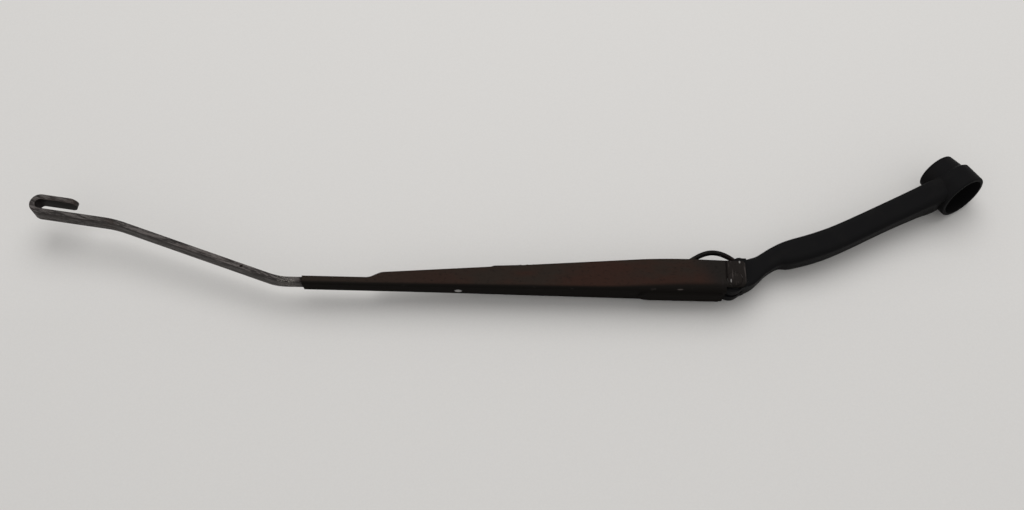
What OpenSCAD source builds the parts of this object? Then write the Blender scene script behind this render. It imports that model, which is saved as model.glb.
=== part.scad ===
// Windscreen wiper arm with a J-hook rod, shown folded to its inner stop.
// The pieces are laid out in the arm's own side plane: the hinge axis is the origin,
// X runs to the hook, Z points away from the glass and Y runs along the hinge rivet.
// Everything is then turned so that the spindle bore is the origin and its axis is Z.

/* [Spindle head] */
// Distance from the hinge back to the spindle, along the arm
head_reach = 127.9; // [110:0.5:150]
// Distance from the hinge down to the spindle, towards the glass
head_drop = 62.2; // [50:0.5:75]
// Lean of the spindle axis against the side plane's upright
spindle_lean = 30.5; // [20:0.5:34]
// Twist of the spindle axis out of the side plane
spindle_twist = 13; // [0:0.5:16]
// Width of the cast bar
bar_w = 17; // [14:0.5:20]
// Thickness of the cast bar
bar_t = 13.4; // [11:0.2:15]
// Thickness of the narrow neck behind the hinge
neck_t = 10.8; // [9:0.2:12]
// Width of the narrow neck
neck_w = 13; // [11:0.5:15]

/* [Spindle boss] */
// Radius of the boss at its glass end
boss_r = 11.2; // [10:0.1:12]
// Outer radius of the nut housing
housing_r = 14.3; // [13:0.1:15]
// Radius of the nut recess
recess_r = 12.2; // [11:0.1:12.5]
// Depth of the nut recess
recess_h = 11; // [6:0.5:12]
// Radius of the stud hole under the nut
stud_r = 4.25; // [4:0.05:4.5]
// Length of the stud hole
stud_h = 4; // [3:0.5:6]
// Radius of the taper socket at its mouth
socket_r = 6; // [5.5:0.1:7]
// Depth of the taper socket
socket_h = 8; // [6:0.5:10]
// Height of the nut housing's straight wall
housing_h = 12; // [8:0.5:13]

/* [Hinge] */
// Radius of the hinge rivet's shank
rivet_r = 3; // [2.5:0.1:3]
// Wall of the flanged bush
bush_wall = 0.95; // [0.8:0.05:1.2]
// Radius of the bush's flange
flange_r = 4.9; // [4.6:0.1:5.4]
// Thickness of the bush's flange
flange_t = 0.8; // [0.6:0.1:1]
// Width of the knuckle between the flanges
knuckle_w = 16; // [14:0.5:18]
// Width of the slot that takes the link
slot_w = 3.6; // [3.2:0.1:4.4]
// Radius of the link pin
pin_r = 1.4; // [1.3:0.1:1.6]
// Distance of the link pin behind the hinge
pin_back = 3.4; // [3:0.2:5]
// Distance of the link pin below the hinge
pin_drop = 9.3; // [9:0.1:10.5]

/* [Spring and link] */
// Radius of the link's wire
link_wire_r = 1.2; // [1:0.05:1.3]
// Height of the link's arc beyond the link pin
link_rise = 9.8; // [9:0.1:10.5]
// Distance between the link's two eyes
link_len = 30.4; // [29:0.2:34]
// Radius of the spring's wire
spring_wire_r = 1.2; // [1:0.05:1.25]
// Radius of the coil, to the middle of the wire
coil_r = 4; // [3.7:0.1:4.1]
// Length of the coiled stretch
coil_len = 74; // [66:1:76]
// Turns of the coil, one quarter short of a whole number
coil_turns = 20.75; // [16.75:1:22.75]

/* [Channel] */
// Length of the channel from the hinge axis to its narrow end
channel_len = 237.6; // [230:0.2:250]
// Thickness of the sheet
sheet_t = 1.2; // [1:0.1:1.4]
// Height of the roof above the hinge axis
roof_h = 7.1; // [7:0.1:8]
// Fall of the roof towards the narrow end, in degrees
roof_fall = 1.44; // [1.2:0.02:1.6]
// Depth of the side walls behind the hinge
wall_depth = 18.2; // [17:0.1:19]
// Depth of the side walls at the step down to the clinched end
step_depth = 7.8; // [7:0.1:9]
// Length of the clinched end
clinch_len = 35.7; // [30:0.1:45]
// Length of the step in the wall's edge
step_len = 9.5; // [8:0.5:14]
// Width of the pad pressed into the roof
pad_w = 12.6; // [11:0.2:13]
// Length of the pad
pad_len = 46; // [36:1:50]
// Height of the pad
pad_rise = 1.3; // [1:0.1:1.5]

/* [Rod] */
// Twist of the rod beyond its first bend
rod_twist = 5; // [0:0.5:10]
// Width of the flat rod
rod_w = 9; // [8:0.5:9]
// Thickness of the flat rod
rod_t = 3; // [2.5:0.1:3]
// Distance of the first bend beyond the channel's end
first_bend_x = 14.2; // [9:0.2:16]
// Downward slope of the rod between its bends
neck_slope = 19.8; // [15:0.2:24]
// Length of the sloping stretch
neck_run = 100.2; // [90:0.2:115]
// Downward slope of the rod at the hook
hook_slope = 8.4; // [5:0.2:12]
// Length of the rod from the second bend to the hook
hook_run = 44; // [36:1:50]
// Gap inside the hook
hook_gap = 5.5; // [5:0.1:6.5]
// Length of the hook's free leg
hook_leg = 19.5; // [16:0.5:26]
// Distance of the rod's rivet from the hinge axis
rod_rivet_x = 151.6; // [148:0.2:160]
// Radius of the rod rivet's shank
rod_rivet_r = 1.7; // [1.5:0.1:2.2]

/* [Hidden] */
$fn = 64;

cast_black = [0.09, 0.09, 0.1];
painted_black = [0.13, 0.11, 0.1];
bare_steel = [0.36, 0.36, 0.35];
spring_steel = [0.16, 0.15, 0.15];
nylon = [0.17, 0.17, 0.17];

// Clearances
running_gap = 0.05;
side_gap = 0.15;
stop_gap = 0.2;
eye_gap = 0.1;
hook_play = 0.35;
clinch_gap = 0.15;
rod_gap = 0.06;
hole_gap = 0.1;
cut = 1;

// Spindle boss, measured from the middle of the stud hole
seat_z = stud_h / 2;
rim_z = seat_z + recess_h;
socket_z = -stud_h / 2;
boss_z = socket_z - socket_h;
socket_top_r = stud_r + 1;
boss_flare = 1;
housing_step = 2;
edge_r = 0.8;

// Hinge
bush_r = rivet_r + running_gap + bush_wall;
knuckle_r = 6.7;
knuckle_shift = 0.8;
lug_r = pin_r + 2.4;
nose_len = 12;
ear_in = knuckle_w / 2 + flange_t + side_gap;
ear_out = ear_in + sheet_t;
rivet_head_r = rivet_r + 1.3;
rivet_head_h = 0.9;
pin = [-pin_back, -pin_drop];

// Link and spring run along one straight line from the link pin to the rod's end
eye_r = pin_r + eye_gap + link_wire_r;
far_eye_r = spring_wire_r + hook_play + link_wire_r;
slot_round_r = eye_r + link_wire_r + 0.5;
slot_back = pin_back + 1.8;
anchor_h = 6;
anchor_back = 16.6;
anchor = [rod_rivet_x - anchor_back, -anchor_h];
anchor_hole_r = spring_wire_r + 1.1;
pull = (anchor - pin) / norm(anchor - pin);
far_eye = pin + link_len * pull;
hinge_loop_s = link_len + coil_r;
anchor_s = norm(anchor - pin);
anchor_loop_s = anchor_s - coil_r;
coil_start = hinge_loop_s + 12;
coil_end = coil_start + coil_len;

// Channel
roof_end = 4.8;
ear_end = 6.2;
plan_start = 10;
clinch_start = channel_len - clinch_len;
step_start = clinch_start - step_len;
knee_x = 30;
knee_len = 24;
hinge_depth = 17.6;
clinch_depth = sheet_t + rod_t + 0.4;
clinch_half = rod_w / 2 + clinch_gap + sheet_t;
fold_r = 2.3;
clinch_fold_r = 1.5;
fold_start = clinch_start - 37;
pad_x = 6.3;
pad_round = pad_x + pad_len - pad_w / 2;

// Functions
function unit(v) = v / norm(v);
function mix(a, b, t) = a + (b - a) * t;
function clamp01(t) = min(1, max(0, t));
function ease(t) = t * t * (3 - 2 * t);
function roof_z(x) = roof_h - x * tan(roof_fall);
function wall_z(x) = roof_z(x) - depth_at(x);
function taper_depth(x) =
    mix(wall_depth, step_depth, clamp01((x - knee_x - knee_len / 2) / (step_start - knee_x - knee_len / 2)));
function knee_depth(x) =
    x < knee_x ? mix(hinge_depth, wall_depth, ease(clamp01(x / knee_x)))
    : x > knee_x + knee_len ? taper_depth(x)
    : mix(wall_depth, taper_depth(knee_x + knee_len), pow((x - knee_x) / knee_len, 2));
function depth_at(x) = mix(knee_depth(x), clinch_depth, ease(clamp01((x - step_start) / step_len)));
function half_at(x) = mix(ear_out, clinch_half, clamp01((x - plan_start) / (clinch_start - plan_start)));
function fold_at(x) = mix(fold_r, clinch_fold_r, clamp01((x - fold_start) / (clinch_start - fold_start)));

// Places pieces that are drawn about the hinge in the spindle's frame
module about_hinge() {
    rotate([-spindle_twist, 0, 0])
        rotate([0, spindle_lean, 0])
            translate([head_reach, 0, head_drop]) children();
}

// Extrudes a side profile, drawn as X and Z, evenly to both sides of the mid-plane
module across(width) {
    rotate([90, 0, 0]) linear_extrude(height = width, center = true) children();
}

// A pin or hole along Y at a point of the side plane
module cross_pin(at, r, width) {
    translate([at[0], 0, at[1]]) rotate([90, 0, 0]) cylinder(r = r, h = width, center = true);
}

// A skin over a stack of rings that have the same, even number of points; the ends are closed in strips
module loft(rings) {
    n = len(rings[0]);
    m = (len(rings) - 1) * n;
    sides = [for (i = [0:n:m - n], j = [0:n - 1], k = [0, 1])
        k == 0
            ? [i + j, i + (j + 1) % n, i + n + j]
            : [i + (j + 1) % n, i + n + (j + 1) % n, i + n + j]];
    start = [for (j = [0:n / 2 - 2], k = [0, 1]) k == 0 ? [j, n - 2 - j, j + 1] : [j, n - 1 - j, n - 2 - j]];
    end = [for (j = [0:n / 2 - 2], k = [0, 1])
        k == 0 ? [m + j, m + j + 1, m + n - 2 - j] : [m + j, m + n - 2 - j, m + n - 1 - j]];
    polyhedron(points = [for (ring = rings, p = ring) p], faces = concat(start, sides, end), convexity = 6);
}

// A round wire swept along a path of points in space
function tangent(p, i) = unit(p[min(i + 1, len(p) - 1)] - p[max(i - 1, 0)]);
function square_to(v, t) = unit(v - (v * t) * t);
function frames(p, first) = [
    for (i = 0, n = square_to(first, tangent(p, 0)); i < len(p); i = i + 1, n = square_to(n, tangent(p, i))) n
];
module wire(path, r, sides, first) {
    normals = frames(path, first);
    loft([for (i = [0:len(path) - 1])
        let (t = tangent(path, i), n = normals[i], b = cross(t, n))
        [for (j = [0:sides - 1]) path[i] + r * (cos(360 * j / sides) * n + sin(360 * j / sides) * b)]]);
}

// A cubic curve between two points with two handles
function curve(a, b, c, d, steps) = [for (i = [1:steps])
    let (t = i / steps)
        pow(1 - t, 3) * a + 3 * t * pow(1 - t, 2) * b + 3 * t * t * (1 - t) * c + pow(t, 3) * d];
function ring_arc(c, r, from, to, steps) = [for (i = [0:steps])
    let (a = mix(from, to, i / steps)) c + r * [cos(a), sin(a)]];

// Rings of the cast bar: middle in the side plane, heading, thickness, width and corner
bar_corner = 3.2;
bar_rings = [
    [[-5.5, -4.4], 182, 16.6, knuckle_w - 0.4, 1.2],
    [[-9.4, -5.6], 195, 14.6, knuckle_w - 1, 1.8],
    [[-13, -8], 207, 12.6, knuckle_w - 2, 2.2],
    [[-17.2, -10.8], 213, neck_t, neck_w, 2.6],
    [[-24.4, -15.1], 208, neck_t + 0.4, neck_w, 2.8],
    [[-32.5, -17.4], 194, bar_t + 0.4, bar_w - 1.6, bar_corner],
    [[-46.9, -21.4], 196, bar_t + 0.6, bar_w, bar_corner],
    [[-62, -27.2], 205, bar_t + 0.2, bar_w, bar_corner],
    [[-88, -39.5], 206, bar_t - 0.2, bar_w, bar_corner],
    [[-head_reach + 20, -head_drop + 13.5], 206, bar_t, bar_w + 2.4, bar_corner],
    [[-head_reach + 11, -head_drop + 9.6], 206, bar_t + 0.6, bar_w + 6.4, 4],
    [[-head_reach + 1, -head_drop + 4.6], 206, bar_t - 0.8, 2 * boss_r + 1, 4]
];
function hermite(a, b, c, d, t) =
    b + 0.5 * t * (c - a + t * (2 * a - 5 * b + 4 * c - d + t * (3 * (b - c) + d - a)));
function bar_state(u) =
    let (i = min(floor(u), len(bar_rings) - 2), t = u - i, last = len(bar_rings) - 1)
    [for (k = [0:4]) hermite(bar_rings[max(i - 1, 0)][k], bar_rings[i][k], bar_rings[i + 1][k],
        bar_rings[min(i + 2, last)][k], t)];
function bar_ring(s, corner_steps) =
    let (out = [-sin(s[1]), cos(s[1])] * -1, u = s[3] / 2 - s[4], v = s[2] / 2 - s[4])
    [for (q = [0:3], k = [0:corner_steps])
        let (a = 90 * q + 90 * k / corner_steps, su = (q == 0 || q == 3) ? 1 : -1, sv = q < 2 ? 1 : -1,
            y = su * u + s[4] * cos(a), w = sv * v + s[4] * sin(a))
        [s[0][0] + out[0] * w, y, s[0][1] + out[1] * w]];

module bar() {
    steps = 4;
    loft([for (i = [0:steps * (len(bar_rings) - 1)]) bar_ring(bar_state(i / steps), 4)]);
}

module knuckle() {
    across(knuckle_w) {
        translate([knuckle_shift, 0]) circle(r = knuckle_r);
        translate(pin) circle(r = lug_r);
        polygon([
            [-7.4, -12.6], [pin[0], pin[1] - lug_r + 0.2], [0, -11], [6, -7], [nose_len, -3],
            [nose_len, roof_z(nose_len) - sheet_t - stop_gap], [0, roof_z(0) - sheet_t - stop_gap],
            [-3.6, 4.7], [-7.4, 3.2]
        ]);
    }
}

module link_slot() {
    across(slot_w) {
        translate([-slot_back, -40]) square([60, 80]);
        translate(pin) circle(r = slot_round_r);
    }
}

module boss() {
    rotate_extrude($fn = 96) polygon(concat(
        [[0, boss_z], [boss_r - edge_r, boss_z]],
        ring_arc([boss_r - edge_r, boss_z + edge_r], edge_r, -90, 0, 4),
        [[boss_r + boss_flare, rim_z - housing_h - housing_step]],
        [[housing_r, rim_z - housing_h]],
        ring_arc([housing_r - edge_r, rim_z - edge_r], edge_r, 0, 90, 4),
        [[0, rim_z]]
    ));
}

module boss_bores() {
    translate([0, 0, seat_z]) cylinder(r = recess_r, h = recess_h + cut, $fn = 96);
    translate([0, 0, socket_z - cut]) cylinder(r = stud_r, h = stud_h + 2 * cut);
    translate([0, 0, boss_z]) cylinder(r1 = socket_r, r2 = socket_top_r, h = socket_h);
    translate([0, 0, boss_z - cut]) cylinder(r = socket_r, h = cut + 0.01);
}

module head() {
    color(cast_black) difference() {
        union() {
            boss();
            about_hinge() {
                bar();
                knuckle();
            }
        }
        boss_bores();
        about_hinge() {
            link_slot();
            cross_pin([0, 0], bush_r, knuckle_w + 2 * cut);
            cross_pin(pin, pin_r, knuckle_w + 2 * cut);
        }
    }
}

// A flanged bush pressed into one cheek of the knuckle
module hinge_bush(side) {
    sleeve = (knuckle_w - slot_w) / 2;
    color(nylon) about_hinge() mirror([0, side < 0 ? 1 : 0, 0]) rotate([-90, 0, 0]) difference() {
        union() {
            translate([0, 0, slot_w / 2]) cylinder(r = bush_r, h = sleeve);
            translate([0, 0, knuckle_w / 2]) cylinder(r = flange_r, h = flange_t);
        }
        cylinder(r = rivet_r + running_gap, h = knuckle_w);
    }
}

module hinge_bush_left() {
    hinge_bush(1);
}

module hinge_bush_right() {
    hinge_bush(-1);
}

// A shank with a low domed head at each end, along Z
module rivet(shank_r, head_r, head_h, from, to) {
    dome_r = (head_r * head_r + head_h * head_h) / (2 * head_h);
    rim = asin(head_r / dome_r);
    rotate_extrude() polygon(concat(
        [for (i = [0:8]) let (a = rim * i / 8) [dome_r * sin(a), from - head_h + dome_r - dome_r * cos(a)]],
        [[shank_r, from], [shank_r, to]],
        [for (i = [8:-1:0]) let (a = rim * i / 8) [dome_r * sin(a), to + head_h - dome_r + dome_r * cos(a)]]
    ));
}

module hinge_rivet() {
    color(painted_black) about_hinge() rotate([90, 0, 0])
        rivet(rivet_r, rivet_head_r, rivet_head_h, -ear_out, ear_out);
}

module link_pin() {
    color(bare_steel) about_hinge() cross_pin(pin, pin_r, knuckle_w);
}

module spring_link() {
    leave_a = -135;
    enter_a = -70;
    apex = [pin[0] + link_len * 0.43, pin[1] - link_rise];
    leave = pin + eye_r * [cos(leave_a), sin(leave_a)];
    enter = far_eye + far_eye_r * [cos(enter_a), sin(enter_a)];
    flat = concat(
        ring_arc(pin, eye_r, -370, leave_a, 20),
        curve(leave, leave + 5 * [-sin(leave_a), cos(leave_a)], apex - [6, 0], apex, 12),
        curve(apex, apex + [6.5, 0], enter - 6 * [-sin(enter_a), cos(enter_a)], enter, 12),
        ring_arc(far_eye, far_eye_r, enter_a + 13, 190, 20)
    );
    color(spring_steel) about_hinge() wire([for (p = flat) [p[0], 0, p[1]]], link_wire_r, 12, [0, 1, 0]);
}

// Spring path: distance along the pull line, then sideways and outward from it
function on_pull(s, y, v) = [pin[0] + s * pull[0] - v * pull[1], y, pin[1] + s * pull[1] + v * pull[0]];
function coil_at(turn) =
    let (a = 360 * turn) on_pull(coil_start + coil_len * turn / coil_turns, coil_r * cos(a), coil_r * sin(a));
module tension_spring() {
    per_turn = 14;
    corner = 0.08;
    hinge_loop = [for (i = [0:18]) let (a = 330 - 240 * i / 18)
        on_pull(hinge_loop_s + coil_r * cos(a), coil_r * sin(a), 0)];
    hinge_shank = on_pull(coil_start - 2.6, coil_r, 0);
    anchor_shank = on_pull(coil_end + 2.6, 0, -coil_r);
    anchor_loop = [for (i = [0:20]) let (a = -90 + 300 * i / 20)
        on_pull(anchor_loop_s + coil_r * cos(a), 0, coil_r * sin(a))];
    path = concat(
        hinge_loop,
        curve(hinge_shank, on_pull(coil_start - 0.4, coil_r, 0), coil_at(corner * 0.4), coil_at(corner), 5),
        [for (i = [1:round(coil_turns * per_turn) - 2])
            coil_at(corner + i * (coil_turns - 2 * corner) / (coil_turns * per_turn - 1))],
        curve(coil_at(coil_turns - corner), coil_at(coil_turns - corner * 0.4),
            on_pull(coil_end + 0.4, 0, -coil_r), anchor_shank, 5),
        anchor_loop
    );
    color(spring_steel) about_hinge() wire(path, spring_wire_r, 8, [0, 0, 1]);
}

// One U-shaped section of the pressed channel, as a closed outline with the pad's step in the roof
function pad_half(x) = x <= pad_round
    ? pad_w / 2
    : max(1.4, sqrt(max(0, pow(pad_w / 2, 2) - pow(x - pad_round, 2))));
function pad_up(x) = pad_rise * clamp01(x - pad_x) * clamp01(pad_x + pad_len - x);
function channel_ring(x) =
    let (h = half_at(x), top = roof_z(x), low = wall_z(x), r = fold_at(x), ri = r - sheet_t,
        w = min(pad_half(x), h - r - 0.2), up = pad_up(x), under = top - sheet_t, n = 4)
    concat(
        [[x, h, low]],
        [for (k = [0:n]) let (a = 90 * k / n) [x, h - r + r * cos(a), top - r + r * sin(a)]],
        [[x, w, top], [x, w - 1, top + up], [x, 1 - w, top + up], [x, -w, top]],
        [for (k = [0:n]) let (a = 90 + 90 * k / n) [x, -h + r + r * cos(a), top - r + r * sin(a)]],
        [[x, -h, low], [x, -h + sheet_t, low]],
        [for (k = [n:-1:0]) let (a = 90 + 90 * k / n) [x, -h + r + ri * cos(a), top - r + ri * sin(a)]],
        [[x, -w, under], [x, 1 - w, under + up], [x, w - 1, under + up], [x, w, under]],
        [for (k = [n:-1:0]) let (a = 90 * k / n) [x, h - r + ri * cos(a), top - r + ri * sin(a)]],
        [[x, h - sheet_t, low]]
    );

// Side outline of the ears round the rivet; it stays below the fold, so that the ears are flat
module ear_outline() {
    top = roof_h - fold_r - 0.2;
    low = wall_z(0);
    upper_r = 3.4;
    lower_r = 2.2;
    polygon(concat(
        ring_arc([upper_r - ear_end, top - upper_r], upper_r, 90, 180, 8),
        ring_arc([lower_r - ear_end, low + lower_r], lower_r, 180, 270, 6),
        [[roof_end, low - 2], [roof_end + 2, low - 2], [roof_end + 2, top]]
    ));
}

module channel() {
    at_hinge = [-8, -1, pad_x, pad_x + 1, plan_start, 14, 20, 26, knee_x, 35, 40, pad_round];
    pad_end = [for (a = [25, 45, 62, 76]) pad_round + pad_w / 2 * sin(a)];
    far = [for (i = [0:3]) mix(knee_x + knee_len, step_start, i / 4)];
    step = [for (i = [0:6]) step_start + step_len * i / 6];
    stations = concat(at_hinge, pad_end, [pad_x + pad_len], far, step, [channel_len]);
    color(painted_black) about_hinge() difference() {
        loft([for (x = stations) channel_ring(x)]);
        across(40) difference() {
            translate([-20, -30]) square([20 + roof_end, 60]);
            ear_outline();
        }
        cross_pin([0, 0], rivet_r + hole_gap / 2, 40);
        rod_rivet_axis() cylinder(r = rod_rivet_r + hole_gap / 2, h = 20, center = true);
    }
}

// Rod path: a walk of straight runs and bends, each state being X, Z and heading
rod_mid = sheet_t + rod_gap + rod_t / 2;
tip_r = rod_w / 2 + 0.3;
spare = tip_r + 1;
function ahead(s, d) = [s[0] + d * cos(s[2]), s[1] + d * sin(s[2]), s[2]];
function turned(s, r, a) =
    let (side = sign(a), cx = s[0] - side * r * sin(s[2]), cz = s[1] + side * r * cos(s[2]))
    [cx + side * r * sin(s[2] + a), cz - side * r * cos(s[2] + a), s[2] + a];
function bend(s, r, a, steps) = [for (i = [0:steps]) turned(s, r, a * i / steps)];
function last(list) = list[len(list) - 1];

mouth = [channel_len, roof_z(channel_len) - rod_mid, -roof_fall];
bend_1 = neck_slope - roof_fall;
bend_2 = neck_slope - hook_slope;
bend_1_r = 35;
bend_2_r = 60;
turn_1 = bend(ahead(mouth, first_bend_x - bend_1_r * tan(bend_1 / 2)), bend_1_r, -bend_1, 6);
turn_2 = bend(ahead(last(turn_1), neck_run - bend_1_r * tan(bend_1 / 2) - bend_2_r * tan(bend_2 / 2)),
    bend_2_r, bend_2, 6);
hook_bend_r = (hook_gap + rod_t) / 2;
hook_turn = bend(ahead(last(turn_2), hook_run - bend_2_r * tan(bend_2 / 2)), hook_bend_r, -180, 20);
hook_tip = ahead(last(hook_turn), hook_leg - tip_r);

joggle = 58;
joggle_r = 3;
joggle_back = 4.1;
joggle_x = rod_rivet_x - joggle_back;
joggle_foot = [joggle_x, roof_z(joggle_x) - rod_mid, -roof_fall];
joggle_trim = joggle_r * tan(joggle / 2);
lower_bend = bend(
    ahead([joggle_foot[0], joggle_foot[1], 180 - roof_fall], joggle_trim), joggle_r, joggle + roof_fall, 5);
joggle_rise = (joggle_foot[1] - anchor[1]) / sin(joggle) - 2 * joggle_trim;
upper_bend = bend(ahead(last(lower_bend), joggle_rise), joggle_r, -joggle, 5);
inner_tip = [anchor[0], last(upper_bend)[1], 180];

function flipped(s) = [s[0], s[1], s[2] + 180];
rod_walk = concat(
    [flipped(ahead(inner_tip, spare))],
    [for (i = [len(upper_bend) - 1:-1:0]) flipped(upper_bend[i])],
    [for (i = [len(lower_bend) - 1:-1:0]) flipped(lower_bend[i])],
    [mouth]
);
twist_walk = concat([ahead(mouth, 3)], turn_1);
hook_walk = concat(turn_2, hook_turn, [ahead(hook_tip, spare)]);
rod_bend_end = last(turn_1);
function strap_point(s, y, n) = [s[0] - n * sin(s[2]), y, s[1] + n * cos(s[2])];
function strap_ring(s, w) = [for (k = [[1, -1], [1, 1], [-1, 1], [-1, -1]])
    let (y = k[0] * rod_w / 2, n = k[1] * rod_t / 2)
        strap_point(s, y * cos(w) - n * sin(w), y * sin(w) + n * cos(w))];
function past_twist(p) =
    let (a = rod_bend_end[2], u = p[0] - rod_bend_end[0], v = p[2] - rod_bend_end[1], y = p[1],
        t = u * cos(a) + v * sin(a), n = v * cos(a) - u * sin(a),
        y2 = y * cos(rod_twist) - n * sin(rod_twist), n2 = y * sin(rod_twist) + n * cos(rod_twist))
    strap_point([rod_bend_end[0] + t * cos(a), rod_bend_end[1] + t * sin(a), a], y2, n2);

module rod_rivet_axis() {
    translate([rod_rivet_x, 0, roof_z(rod_rivet_x)]) rotate([0, roof_fall, 0]) children();
}

// What is cut off the strap's square end to round it, at the middle of the rounding
module tip_waste(at) {
    translate([at[0], 0, at[1]]) rotate([0, -at[2], 0]) difference() {
        translate([1, -rod_w, -rod_t]) cube([2 * spare, 2 * rod_w, 2 * rod_t]);
        cylinder(r = tip_r, h = 3 * rod_t, center = true);
    }
}

// Turns what is drawn beyond the first bend with the rod's twist
module beyond_bend() {
    a = rod_bend_end[2];
    translate([rod_bend_end[0], 0, rod_bend_end[1]]) rotate(a = rod_twist, v = [cos(a), 0, sin(a)])
        translate([-rod_bend_end[0], 0, -rod_bend_end[1]]) children();
}

module rod() {
    steps = len(twist_walk) - 1;
    color(bare_steel) about_hinge() difference() {
        loft(concat(
            [for (s = rod_walk) strap_ring(s, 0)],
            [for (i = [0:steps]) strap_ring(twist_walk[i], rod_twist * ease(i / steps))],
            [for (s = hook_walk) [for (p = strap_ring(s, 0)) past_twist(p)]]
        ));
        beyond_bend() tip_waste(hook_tip);
        tip_waste(inner_tip);
        translate([inner_tip[0], 0, inner_tip[1]]) cylinder(r = anchor_hole_r, h = rod_t + 2, center = true);
        rod_rivet_axis() cylinder(r = rod_rivet_r + hole_gap, h = 20, center = true);
    }
}

module rod_rivet() {
    color(bare_steel) about_hinge() rod_rivet_axis()
        rivet(rod_rivet_r, rod_rivet_r + 0.7, 0.7, -sheet_t - rod_gap - rod_t - 0.01, 0.01);
}

head();
hinge_bush_left();
hinge_bush_right();
hinge_rivet();
link_pin();
spring_link();
tension_spring();
channel();
rod();
rod_rivet();
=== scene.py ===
"""Draws the wiper arm lying on its side on a pale table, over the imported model."""

from __future__ import annotations

import logging
import math
from abc import ABC, abstractmethod
from collections.abc import Callable, Iterable, Sequence
from dataclasses import dataclass, field
from enum import Enum
from typing import Any

import bpy
from mathutils import Euler, Matrix, Vector

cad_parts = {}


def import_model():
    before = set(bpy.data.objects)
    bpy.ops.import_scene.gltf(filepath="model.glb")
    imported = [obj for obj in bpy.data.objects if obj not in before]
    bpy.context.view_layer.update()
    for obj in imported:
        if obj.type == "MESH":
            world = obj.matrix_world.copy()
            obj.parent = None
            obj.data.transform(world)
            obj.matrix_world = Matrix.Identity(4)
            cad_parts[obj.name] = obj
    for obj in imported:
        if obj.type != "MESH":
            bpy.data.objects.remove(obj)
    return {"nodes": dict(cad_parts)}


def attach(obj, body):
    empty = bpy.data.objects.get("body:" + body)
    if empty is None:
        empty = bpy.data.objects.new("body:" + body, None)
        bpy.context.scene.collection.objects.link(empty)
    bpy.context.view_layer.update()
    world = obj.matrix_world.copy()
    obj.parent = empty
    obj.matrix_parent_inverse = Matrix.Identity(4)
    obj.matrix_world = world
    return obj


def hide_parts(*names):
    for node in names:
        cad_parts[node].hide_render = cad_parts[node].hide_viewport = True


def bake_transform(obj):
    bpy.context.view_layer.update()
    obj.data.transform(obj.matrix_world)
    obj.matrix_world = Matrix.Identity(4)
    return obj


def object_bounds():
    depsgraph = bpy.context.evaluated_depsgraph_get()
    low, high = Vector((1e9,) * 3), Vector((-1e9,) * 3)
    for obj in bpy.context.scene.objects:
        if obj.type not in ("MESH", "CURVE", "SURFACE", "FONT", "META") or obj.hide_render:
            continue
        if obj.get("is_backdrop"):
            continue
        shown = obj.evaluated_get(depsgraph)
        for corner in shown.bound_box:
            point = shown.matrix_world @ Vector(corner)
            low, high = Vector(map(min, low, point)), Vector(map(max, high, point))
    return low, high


LOG = logging.getLogger("wiper_arm")
MM = 0.001

Point = tuple[float, float, float]
Colour = tuple[float, float, float]
Mark = tuple[float, float, float, float]
Band = tuple[float, float]

SPOT_EDGE: Band = (1.15, 0.75)
NEAR_SIDE: Band = (-2.0, -3.5)


class Body(str, Enum):
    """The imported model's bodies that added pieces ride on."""

    HEAD = "head"
    LINK = "link"
    TAIL = "spring_tail"


class Slot(str, Enum):
    """The record's material slots, passed along with the added pieces."""

    HEAD = "head_paint"
    SPRING = "spring_wire"


@dataclass(frozen=True)
class SidePlane:
    """The arm's side plane: the hinge axis is its origin, x runs to the hook and z points off the glass."""

    reach: float = 127.9
    drop: float = 62.2
    lean: float = 30.5
    twist: float = 13.0

    def matrix(self) -> Matrix:
        """Gives the turn and shift from the side plane, in millimetres, to the row frame, in metres.

        Returns:
            The 4 by 4 matrix.
        """
        twist = Matrix.Rotation(math.radians(-self.twist), 4, "X")
        lean = Matrix.Rotation(math.radians(self.lean), 4, "Y")
        return Matrix.Scale(MM, 4) @ (twist @ lean) @ Matrix.Translation((self.reach, 0.0, self.drop))

    def point(self, x: float, y: float, z: float) -> Vector:
        """Places a point of the side plane in the row frame.

        Args:
            x: Distance from the hinge towards the hook, in millimetres.
            y: Distance along the hinge rivet, in millimetres.
            z: Distance away from the glass, in millimetres.

        Returns:
            The point in the row frame, in metres.
        """
        return self.matrix() @ Vector((x, y, z))

    def direction(self, x: float, y: float, z: float) -> Vector:
        """Turns a direction of the side plane into the row frame.

        Args:
            x: Part towards the hook.
            y: Part along the hinge rivet.
            z: Part away from the glass.

        Returns:
            The unit direction.
        """
        return (self.matrix().to_3x3() @ Vector((x, y, z))).normalized()


PLANE = SidePlane()


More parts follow.
